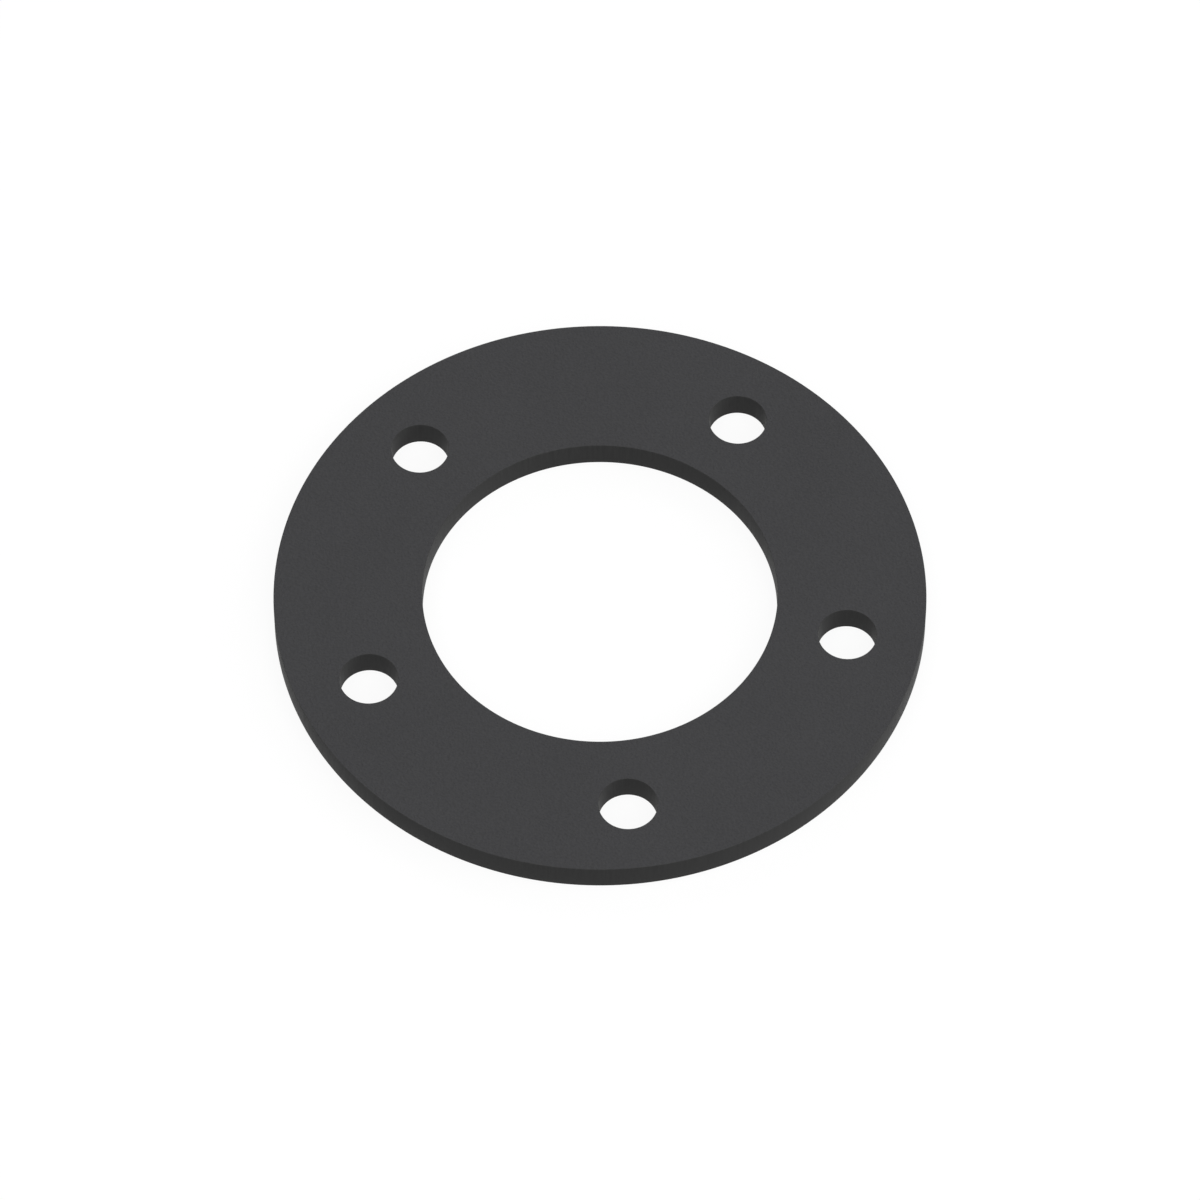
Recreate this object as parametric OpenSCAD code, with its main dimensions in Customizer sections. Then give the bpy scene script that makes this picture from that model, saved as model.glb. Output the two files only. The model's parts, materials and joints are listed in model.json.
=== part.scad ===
// Flat rubber gasket that seals the flange of a fuel level sender to the top of a tank.
// It is die-cut in one piece from a rubber sheet: a ring with a wide opening that the sender
// passes through, and a circle of bolt holes whose uneven gaps fit the flange one way only.
// Millimetres, +Z up. The origin is the centre of the ring on its lower sealing face, and +Y
// points at the middle of the wide gap, opposite the single front hole.

/* [Sheet] */
// Thickness of the rubber sheet
sheet_t = 3.2; // [1.5:0.1:6]
// Width of the soft edge that the cutting die leaves on every rim
edge_break = 0.05; // [0.02:0.01:0.4]

/* [Ring] */
// Outer diameter of the ring
outer_d = 70; // [64:0.5:90]
// Diameter of the opening that the sender passes through
opening_d = 38.1; // [20:0.1:44]

/* [Bolt holes] */
// Diameter of the circle through the centres of the bolt holes
bolt_circle_d = 54; // [48:0.5:60]
// Diameter of each bolt hole
bolt_hole_d = 6.25; // [4:0.05:8]
// Angle between the two rear holes, the wide gap that sets the flange's one position
wide_gap = 80; // [72:1:100]
// Angle from each rear hole to the side hole next to it
side_gap = 68; // [50:1:72]

/* [Hidden] */
$fn = 128;

outer_r = outer_d / 2;
bolt_circle_r = bolt_circle_d / 2;
// Angles from +Y of the front hole, the side pair and the rear pair
front_angle = 180;
rear_angle = wide_gap / 2;
side_angle = rear_angle + side_gap;
bolt_angles = [front_angle, side_angle, -side_angle, rear_angle, -rear_angle];
// How far a punch runs past each face of the sheet
overrun = 1;
// Dark grey of the rubber
rubber = [0.27, 0.27, 0.27];

// Round blank of sheet with both of its rims softened
module blank() {
    rim_r = outer_r - edge_break;
    rotate_extrude()
        polygon([
            [0, 0],
            [rim_r, 0],
            [outer_r, edge_break],
            [outer_r, sheet_t - edge_break],
            [rim_r, sheet_t],
            [0, sheet_t]
        ]);
}

// Round punch through the sheet, which widens at both faces and so softens the hole's rims
module punch(d) {
    wall_r = d / 2;
    flared_r = wall_r + edge_break + overrun;
    rotate_extrude()
        polygon([
            [0, -overrun],
            [flared_r, -overrun],
            [wall_r, edge_break],
            [wall_r, sheet_t - edge_break],
            [flared_r, sheet_t + overrun],
            [0, sheet_t + overrun]
        ]);
}

// Places its children at the centre of every bolt hole
module at_bolt_holes() {
    for (angle = bolt_angles)
        rotate(angle)
            translate([0, bolt_circle_r, 0])
                children();
}

module gasket() {
    color(rubber)
        difference() {
            blank();
            punch(opening_d);
            at_bolt_holes()
                punch(bolt_hole_d);
        }
}

gasket();
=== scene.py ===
"""Looks of a flat rubber gasket: its sheet faces, its die-cut walls, a pale floor and soft studio light.

Everything is in metres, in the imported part's own frame: +Z up, the origin at the centre of the ring on
its lower sealing face, and +Y towards the wide gap between the two rear bolt holes.
"""

import json
import math

import bmesh
import bpy
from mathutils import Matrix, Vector


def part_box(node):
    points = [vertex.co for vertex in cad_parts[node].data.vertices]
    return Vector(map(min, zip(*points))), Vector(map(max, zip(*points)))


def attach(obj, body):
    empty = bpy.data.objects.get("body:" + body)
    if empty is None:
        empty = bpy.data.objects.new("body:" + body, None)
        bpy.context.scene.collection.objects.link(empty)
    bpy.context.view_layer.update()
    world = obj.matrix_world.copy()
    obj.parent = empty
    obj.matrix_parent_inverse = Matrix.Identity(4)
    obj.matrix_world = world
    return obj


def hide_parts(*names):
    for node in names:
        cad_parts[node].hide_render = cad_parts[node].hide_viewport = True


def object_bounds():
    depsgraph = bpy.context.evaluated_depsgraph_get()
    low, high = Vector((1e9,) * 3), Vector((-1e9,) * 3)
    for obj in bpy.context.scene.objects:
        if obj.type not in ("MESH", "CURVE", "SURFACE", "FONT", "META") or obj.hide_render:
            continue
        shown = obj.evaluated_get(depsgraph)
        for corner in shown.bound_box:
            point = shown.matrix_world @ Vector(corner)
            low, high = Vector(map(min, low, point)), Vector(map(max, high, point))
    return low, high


MM = 0.001

# Camera of the photograph, found from the outlines of the ring and its holes
CAMERA_AZIMUTH = math.radians(-6.3)
CAMERA_ELEVATION = math.radians(56.41)
CAMERA_FIELD_OF_VIEW = math.radians(8.385)
CAMERA_DISTANCE = 878.8 * MM

# Fineness of the gasket's mesh
RIM_SEGMENTS = 256
BOLT_HOLE_SEGMENTS = 80
EDGE_STEPS = 4
WELD_DISTANCE = 0.001 * MM
# A face is flat, and no part of a wall, where more than this share of its normal points up or down
FLAT_NORMAL = 0.9999

# Rubber of the sheet: an even charcoal grey, with a cool tint on its skin and none where it is cut
SKIN_DARK = (0.0399, 0.0399, 0.0418, 1.0)
SKIN_LIGHT = (0.0511, 0.0511, 0.0535, 1.0)
CUT_DARK = (0.0399, 0.0399, 0.0399, 1.0)
CUT_LIGHT = (0.0511, 0.0511, 0.0511, 1.0)
RUBBER_GLOSS = 0.075
# Values between which nearly all of a noise lies
NOISE_LOW = 0.3
NOISE_HIGH = 0.7

# Skin of the sheet: a fine grain and a cloudy bloom, which share the change from dark to light
GRAIN_SIZE_MM = 0.26
GRAIN_SHARE = 0.8
GRAIN_DEPTH = 0.14 * MM
BLOOM_SIZE_MM = 9.0
BLOOM_SHARE = 0.2
SKIN_DETAIL = 3.0
SKIN_ROUGHNESS = (0.60, 0.72)

# Cut walls: lines that the die drew, fine along the wall and long through its thickness
DIE_LINE_SIZE_MM = 0.30
DIE_LINE_SCALE = (1, 1, 0.08)
DIE_LINE_DETAIL = 2.0
DIE_LINE_DEPTH = 0.02 * MM
CUT_ROUGHNESS = (0.54, 0.64)

# Floor: white where it is seen, mostly by its own glow, and grey for the light that it sends back up
FLOOR_SIZE = 6.0
FLOOR_GAP = 0.01 * MM
FLOOR_GLOW = 0.90
FLOOR_BOUNCE = (0.15, 0.15, 0.15, 1.0)

# Backdrop: white where it is seen, with a low fill light
WHITE = (1.0, 1.0, 1.0, 1.0)
FILL_LEVEL = 0.10

# Softboxes by name: width in metres, place and power in watts
SOFTBOXES = {
    "main_softbox": (2.0, (0.0, -0.54, 1.2), 22.8),
    "right_softbox": (1.0, (1.4, 0.0, 0.8), 10.0),
    "rear_softbox": (1.0, (0.0, 1.4, 0.8), 7.0),
}


# Nodes


def add(tree, kind, inputs=(), **options):
    """Adds a node to a tree, sets its options, and fills its inputs with values or other nodes' outputs."""
    node = tree.nodes.new(kind)
    for option, value in options.items():
        setattr(node, option, value)
    for socket, value in dict(inputs).items():
        if isinstance(value, bpy.types.NodeSocket):
            tree.links.new(value, node.inputs[socket])
        else:
            node.inputs[socket].default_value = value
    return node


def out(tree, kind, inputs=(), **options):
    """Adds a node and gives its first output."""
    return add(tree, kind, inputs, **options).outputs[0]


def math_node(tree, operation, first, second):
    """Adds a Math node on two values or outputs and gives its result."""
    return out(tree, "ShaderNodeMath", {0: first, 1: second}, operation=operation)


def vector(tree, **parts):
    """Vector with the given parts along X, Y and Z, and 0 along the rest."""
    return out(tree, "ShaderNodeCombineXYZ", parts)


def join(tree, *parts):
    """Joins several outputs of geometry into one."""
    node = tree.nodes.new("GeometryNodeJoinGeometry")
    for part in parts:
        tree.links.new(part, node.inputs["Geometry"])
    return node.outputs["Geometry"]


def empty_tree(block):
    """Gives a material or a world an empty node tree, and returns it."""
    block.use_nodes = True
    block.node_tree.nodes.clear()
    return block.node_tree


# Gasket


def gasket_sizes(frame):
    """The ring's sizes and the centres of its bolt holes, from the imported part."""
    mounts = frame["record"]["mounts"]
    low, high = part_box("gasket")
    opening = next(mount for mount in mounts if mount["name"] == "sender_opening")
    bolt_holes = [mount for mount in mounts if mount["name"].startswith("bolt_hole")]
    thickness = high.z - low.z
    wall_length = opening["dims"]["length_mm"] * MM
    sizes = {
        "Outer Radius": max(high.x, high.y),
        "Opening Radius": opening["dims"]["r_mm"] * MM,
        "Bolt Hole Radius": bolt_holes[0]["dims"]["r_mm"] * MM,
        "Thickness": thickness,
        "Edge Round": (thickness - wall_length) / 2,
    }
    bolt_centres = [(mount["pos_m"][0], mount["pos_m"][1], low.z) for mount in bolt_holes]
    return sizes, bolt_centres


def rim_profiles(tree, thickness, edge):
    """Sections of the outer wall and of a hole's wall, with round edges to the lower and upper face.

    A sweep along a circle turns a section's -Y upwards.
    """
    rise = math_node(tree, "MULTIPLY", thickness, -1)
    corners = out(
        tree,
        "GeometryNodeCurvePrimitiveQuadrilateral",
        {
            "Point 1": (0, 0, 0),
            "Point 2": vector(tree, X=edge),
            "Point 3": vector(tree, X=edge, Y=rise),
            "Point 4": vector(tree, Y=rise),
        },
        mode="POINTS",
    )
    open_corners = out(tree, "GeometryNodeSetSplineCyclic", {"Geometry": corners, "Cyclic": False})
    outward = out(
        tree,
        "GeometryNodeFilletCurve",
        {"Curve": open_corners, "Count": EDGE_STEPS, "Radius": edge, "Limit Radius": True},
        mode="POLY",
    )
    inward = out(tree, "GeometryNodeTransform", {"Geometry": outward, "Scale": (-1, 1, 1)})
    return outward, inward


def circle(tree, radius, segments):
    """Circle round the origin."""
    return out(
        tree, "GeometryNodeCurvePrimitiveCircle", {"Radius": radius, "Resolution": segments}
    )


def rim_circles(tree, given):
    """Outer circle and hole circles, at which the flat faces end and the round edges begin."""
    edge = given["Edge Round"]
    outer_circle = circle(tree, math_node(tree, "SUBTRACT", given["Outer Radius"], edge), RIM_SEGMENTS)
    opening_circle = circle(tree, math_node(tree, "ADD", given["Opening Radius"], edge), RIM_SEGMENTS)
    bolt_circle = circle(
        tree, math_node(tree, "ADD", given["Bolt Hole Radius"], edge), BOLT_HOLE_SEGMENTS
    )
    placed_circles = out(
        tree,
        "GeometryNodeInstanceOnPoints",
        {"Points": given["Bolt Hole Centres"], "Instance": bolt_circle},
    )
    bolt_circles = out(tree, "GeometryNodeRealizeInstances", {"Geometry": placed_circles})
    return outer_circle, join(tree, opening_circle, bolt_circles)


def flat_faces(tree, circles, thickness):
    """Lower and upper face of the sheet, bounded by the circles."""
    lower_face = out(tree, "GeometryNodeFillCurve", {"Curve": circles}, mode="TRIANGLES")
    upper_face = out(
        tree,
        "GeometryNodeTransform",
        {"Geometry": lower_face, "Translation": vector(tree, Z=thickness)},
    )
    return join(tree, lower_face, upper_face)


def wall(tree, circles, profile):
    """Wall swept along each of the circles."""
    return out(tree, "GeometryNodeCurveToMesh", {"Curve": circles, "Profile Curve": profile})


def shade(tree, part, smooth):
    """Shades a part of the gasket smooth or flat."""
    return out(tree, "GeometryNodeSetShadeSmooth", {"Geometry": part, "Shade Smooth": smooth})


def dress(tree, shell, face_material, wall_material):
    """Gives the flat faces the skin of the sheet, and the walls the look of its cut."""
    normal = out(tree, "GeometryNodeInputNormal")
    height = add(tree, "ShaderNodeSeparateXYZ", {"Vector": normal}).outputs["Z"]
    upright = out(tree, "ShaderNodeMath", {0: height}, operation="ABSOLUTE")
    is_face = math_node(tree, "GREATER_THAN", upright, FLAT_NORMAL)
    cut = out(tree, "GeometryNodeSetMaterial", {"Geometry": shell, "Material": wall_material})
    return out(
        tree,
        "GeometryNodeSetMaterial",
        {"Geometry": cut, "Selection": is_face, "Material": face_material},
    )


def gasket_tree(sizes, face_material, wall_material):
    """Geometry Nodes tree that makes the gasket round the centres of its bolt holes, and its named inputs."""
    tree = bpy.data.node_groups.new("gasket_sheet", "GeometryNodeTree")
    tree.interface.new_socket("Bolt Hole Centres", in_out="INPUT", socket_type="NodeSocketGeometry")
    tree.interface.new_socket("Gasket", in_out="OUTPUT", socket_type="NodeSocketGeometry")
    sockets = {
        name: tree.interface.new_socket(name, in_out="INPUT", socket_type="NodeSocketFloat")
        for name in sizes
    }
    given = tree.nodes.new("NodeGroupInput").outputs
    outward, inward = rim_profiles(tree, given["Thickness"], given["Edge Round"])
    outer_circle, hole_circles = rim_circles(tree, given)
    faces = flat_faces(tree, join(tree, outer_circle, hole_circles), given["Thickness"])
    walls = join(tree, wall(tree, outer_circle, outward), wall(tree, hole_circles, inward))
    welded = out(
        tree,
        "GeometryNodeMergeByDistance",
        {
            "Geometry": join(tree, shade(tree, faces, False), shade(tree, walls, True)),
            "Distance": WELD_DISTANCE,
        },
    )
    shell = out(tree, "GeometryNodeRealizeInstances", {"Geometry": welded})
    add(tree, "NodeGroupOutput", {"Gasket": dress(tree, shell, face_material, wall_material)})
    return tree, sockets


def make_gasket(frame, face_material, wall_material):
    """The gasket as a plain closed mesh that stands for its CAD node."""
    sizes, bolt_centres = gasket_sizes(frame)
    points = bpy.data.meshes.new("bolt_hole_centres")
    points.from_pydata(bolt_centres, [], [])
    gasket = bpy.data.objects.new("rubber_gasket", points)
    bpy.context.scene.collection.objects.link(gasket)

    tree, sockets = gasket_tree(sizes, face_material, wall_material)
    modifier = gasket.modifiers.new("gasket_sheet", "NODES")
    modifier.node_group = tree
    for name, size in sizes.items():
        modifier[sockets[name].identifier] = size
    evaluated = gasket.evaluated_get(bpy.context.evaluated_depsgraph_get())
    mesh = bpy.data.meshes.new_from_object(evaluated)
    mesh.name = "rubber_gasket"
    # The points have no material, which leaves an empty first slot
    mesh.materials.pop(index=0)
    gasket.modifiers.remove(modifier)
    gasket.data = mesh
    bpy.data.meshes.remove(points)

    shape = bmesh.new()
    shape.from_mesh(mesh)
    bmesh.ops.recalc_face_normals(shape, faces=shape.faces)
    shape.to_mesh(mesh)
    shape.free()
    return gasket


# Rubber


def millimetres(tree, scale=(1, 1, 1)):
    """Object coordinates in millimetres, times a scale of its own along each axis."""
    place = add(tree, "ShaderNodeTexCoord").outputs["Object"]
    return out(
        tree,
        "ShaderNodeMapping",
        {"Vector": place, "Scale": tuple(factor / MM for factor in scale)},
    )


def noise(tree, place, size_mm, detail):
    """Noise whose features are about that many millimetres across."""
    return out(
        tree, "ShaderNodeTexNoise", {"Vector": place, "Scale": 1 / size_mm, "Detail": detail}
    )


def spread(tree, value, low, high):
    """Carries a noise's usual range to a range of its own."""
    return out(
        tree,
        "ShaderNodeMapRange",
        {
            "Value": value,
            "From Min": NOISE_LOW,
            "From Max": NOISE_HIGH,
            "To Min": low,
            "To Max": high,
        },
    )


def rubber_grey(tree, lightness, dark, light):
    """Grey of the rubber for a lightness from 0 to 1."""
    ramp = add(tree, "ShaderNodeValToRGB", {"Fac": lightness})
    first, last = ramp.color_ramp.elements
    first.color = dark
    last.color = light
    return ramp.outputs["Color"]


def add_rubber(tree, grey, roughness, relief, depth):
    """Matte rubber of a grey and a roughness, with a relief of that depth."""
    bump = out(tree, "ShaderNodeBump", {"Height": relief, "Strength": 1.0, "Distance": depth})
    rubber = out(
        tree,
        "ShaderNodeBsdfPrincipled",
        {
            "Base Color": grey,
            "Roughness": roughness,
            "Specular IOR Level": RUBBER_GLOSS,
            "Normal": bump,
        },
    )
    add(tree, "ShaderNodeOutputMaterial", {"Surface": rubber})


def face_rubber():
    """Skin of the rubber sheet: a fine matte grain under a faint, cloudy bloom."""
    material = bpy.data.materials.new("rubber_sheet_face")
    tree = empty_tree(material)
    place = millimetres(tree)
    bloom = noise(tree, place, BLOOM_SIZE_MM, SKIN_DETAIL)
    grain = noise(tree, place, GRAIN_SIZE_MM, SKIN_DETAIL)
    bloom_part = spread(tree, bloom, 0.0, BLOOM_SHARE)
    grain_part = spread(tree, grain, 0.0, GRAIN_SHARE)
    lightness = math_node(tree, "ADD", bloom_part, grain_part)
    grey = rubber_grey(tree, lightness, SKIN_DARK, SKIN_LIGHT)
    add_rubber(tree, grey, spread(tree, grain, *SKIN_ROUGHNESS), grain, GRAIN_DEPTH)
    return material


def wall_rubber():
    """Cut walls of the sheet: fine lines that the die drew through the thickness."""
    material = bpy.data.materials.new("rubber_cut_wall")
    tree = empty_tree(material)
    place = millimetres(tree, DIE_LINE_SCALE)
    lines = noise(tree, place, DIE_LINE_SIZE_MM, DIE_LINE_DETAIL)
    grey = rubber_grey(tree, spread(tree, lines, 0.0, 1.0), CUT_DARK, CUT_LIGHT)
    add_rubber(tree, grey, spread(tree, lines, *CUT_ROUGHNESS), lines, DIE_LINE_DEPTH)
    return material


# Studio


def seen_directly(tree):
    """1 for rays from the camera, from gloss and through glass, and 0 for rays that only carry light."""
    path = add(tree, "ShaderNodeLightPath").outputs
    gloss_or_glass = math_node(tree, "MAXIMUM", path["Is Glossy Ray"], path["Is Transmission Ray"])
    return math_node(tree, "MAXIMUM", path["Is Camera Ray"], gloss_or_glass)


def floor_material():
    """White to the eye with a faint shadow, and a dark grey for the light that it sends back up."""
    material = bpy.data.materials.new("pale_floor")
    tree = empty_tree(material)
    white = out(tree, "ShaderNodeBsdfDiffuse", {"Color": WHITE})
    glow = out(tree, "ShaderNodeEmission", {"Color": WHITE, "Strength": 1.0})
    seen = out(tree, "ShaderNodeMixShader", {0: FLOOR_GLOW, 1: white, 2: glow})
    bounce = out(tree, "ShaderNodeBsdfDiffuse", {"Color": FLOOR_BOUNCE})
    surface = out(tree, "ShaderNodeMixShader", {0: seen_directly(tree), 1: bounce, 2: seen})
    add(tree, "ShaderNodeOutputMaterial", {"Surface": surface})
    return material


def make_floor(height):
    """Square floor just under the gasket."""
    half = FLOOR_SIZE / 2
    corners = [(-half, -half, height), (half, -half, height), (half, half, height), (-half, half, height)]
    mesh = bpy.data.meshes.new("floor")
    mesh.from_pydata(corners, [], [(0, 1, 2, 3)])
    mesh.materials.append(floor_material())
    floor = bpy.data.objects.new("floor", mesh)
    bpy.context.scene.collection.objects.link(floor)


def make_world():
    """White backdrop that gives the gasket only a low, even fill light."""
    world = bpy.data.worlds.new("studio")
    tree = empty_tree(world)
    fill = out(tree, "ShaderNodeBackground", {"Color": WHITE, "Strength": FILL_LEVEL})
    white = out(tree, "ShaderNodeBackground", {"Color": WHITE, "Strength": 1.0})
    surface = out(tree, "ShaderNodeMixShader", {0: seen_directly(tree), 1: fill, 2: white})
    add(tree, "ShaderNodeOutputWorld", {"Surface": surface})
    bpy.context.scene.world = world


def make_softbox(name, width, place, power):
    """Square soft lamp that faces the gasket."""
    lamp = bpy.data.lights.new(name, "AREA")
    lamp.shape = "SQUARE"
    lamp.size = width
    lamp.energy = power
    softbox = bpy.data.objects.new(name, lamp)
    softbox.location = place
    softbox.rotation_euler = (-Vector(place)).to_track_quat("-Z", "Y").to_euler()
    bpy.context.scene.collection.objects.link(softbox)


def make_camera(target):
    """Long lens that looks down on the middle of the gasket, as in the photograph."""
    lens = bpy.data.cameras.new("camera")
    lens.angle = CAMERA_FIELD_OF_VIEW
    back = Vector(
        (
            math.sin(CAMERA_AZIMUTH) * math.cos(CAMERA_ELEVATION),
            -math.cos(CAMERA_AZIMUTH) * math.cos(CAMERA_ELEVATION),
            math.sin(CAMERA_ELEVATION),
        )
    )
    camera = bpy.data.objects.new("camera", lens)
    camera.location = target + back * CAMERA_DISTANCE
    camera.rotation_euler = (-back).to_track_quat("-Z", "Y").to_euler()
    bpy.context.scene.collection.objects.link(camera)
    bpy.context.scene.camera = camera


# The whole scene

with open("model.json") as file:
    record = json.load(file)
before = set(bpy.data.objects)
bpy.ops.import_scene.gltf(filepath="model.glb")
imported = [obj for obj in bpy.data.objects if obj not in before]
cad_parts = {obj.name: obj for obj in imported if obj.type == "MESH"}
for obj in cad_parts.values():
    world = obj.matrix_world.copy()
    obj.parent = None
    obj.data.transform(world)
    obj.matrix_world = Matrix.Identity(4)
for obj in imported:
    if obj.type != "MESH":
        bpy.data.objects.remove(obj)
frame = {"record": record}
cad_low, cad_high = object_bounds()

bpy.context.scene.view_settings.view_transform = "Standard"
make_camera((cad_low + cad_high) / 2)
make_world()
for softbox_name, (width, place, power) in SOFTBOXES.items():
    make_softbox(softbox_name, width, place, power)
make_floor(cad_low.z - FLOOR_GAP)

gasket = make_gasket(frame, face_rubber(), wall_rubber())
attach(gasket, "root")
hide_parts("gasket")
